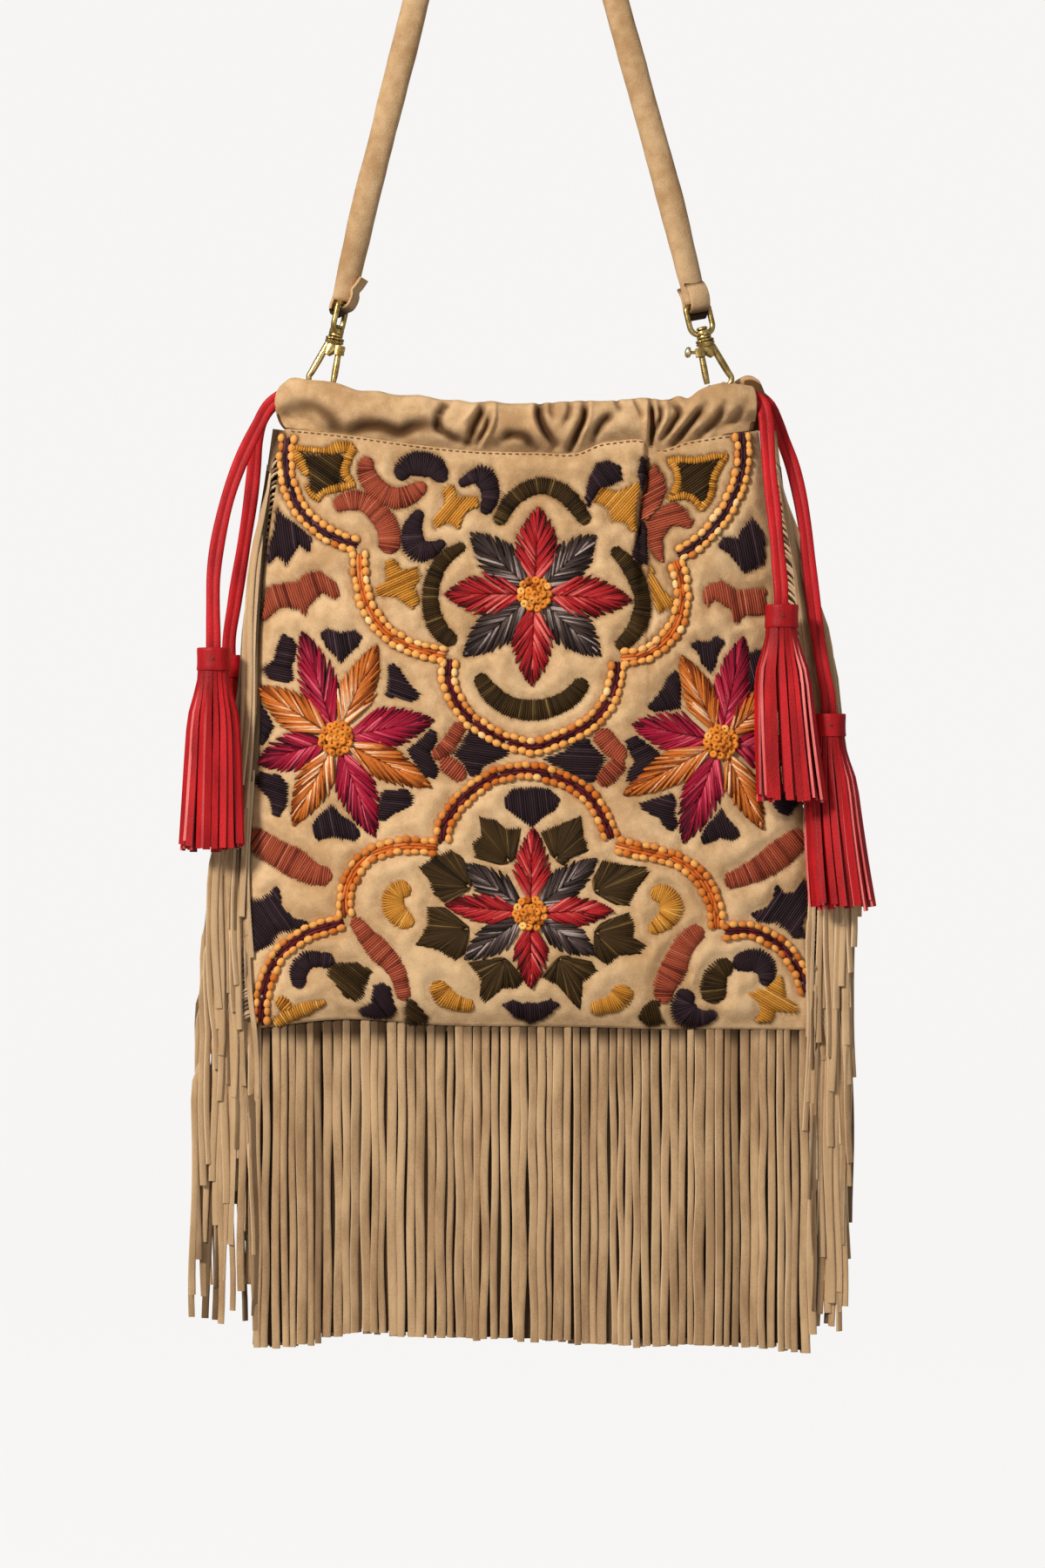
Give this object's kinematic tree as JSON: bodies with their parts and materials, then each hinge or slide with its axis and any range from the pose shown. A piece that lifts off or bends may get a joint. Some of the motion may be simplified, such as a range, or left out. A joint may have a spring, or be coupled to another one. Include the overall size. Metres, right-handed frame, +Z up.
{
  "type": "fringed suede drawstring shoulder bag",
  "caption": "Soft suede pouch with a gathered drawstring mouth, hanging by a rolled strap on swivel clips, with side and bottom fringe and leather tassels.",
  "frame": {"origin": "underside of the shoulder strap at the top of its loop, where the bag hangs", "axes": "+Z up along the hang, +Y from the embroidered front to the back, +X to the right of the front"},
  "size_m": [0.396, 0.0672, 0.9709],
  "materials": {
    "suede": "napped matte suede",
    "fringe_suede": "napped matte suede",
    "red_leather": "smooth satin leather",
    "brass": "aged brass with dark recesses"
  },
  "bodies": {
    "bag": {"front_panel": "suede", "back_panel": "suede", "front_casing": "suede", "back_casing": "suede", "bottom_fringe": "fringe_suede", "left_fringe": "fringe_suede", "right_fringe": "fringe_suede", "front_lace_run": "red_leather", "back_lace_run": "red_leather", "lace_left_front": "red_leather", "lace_left_back": "red_leather", "lace_right_front": "red_leather", "lace_right_back": "red_leather", "tassel_cap_left_front": "red_leather", "tassel_skirt_left_front": "red_leather", "tassel_cap_left_back": "red_leather", "tassel_skirt_left_back": "red_leather", "tassel_cap_right_front": "red_leather", "tassel_skirt_right_front": "red_leather", "tassel_cap_right_back": "red_leather", "tassel_skirt_right_back": "red_leather", "strap": "suede", "strap_loop_left": "suede", "strap_loop_right": "suede", "ring_left": "brass", "ring_right": "brass", "hook_left": "brass", "hook_right": "brass", "hook_tab_left": "suede", "hook_tab_right": "suede"},
    "gate_left": {"gate_left": "brass"},
    "gate_right": {"gate_right": "brass"}
  },
  "joints": [
    {"name": "gate_left_hinge", "type": "hinge", "parent": "bag", "child": "gate_left", "pos_m": [-0.09946, 0, -0.38179], "axis": [0, 1, 0], "range_deg": [0, 20], "stiffness_Nm_per_rad": 0.01},
    {"name": "gate_right_hinge", "type": "hinge", "parent": "bag", "child": "gate_right", "pos_m": [0.10655, 0, -0.38285], "axis": [0, -1, 0], "range_deg": [0, 20], "stiffness_Nm_per_rad": 0.01}
  ]
}
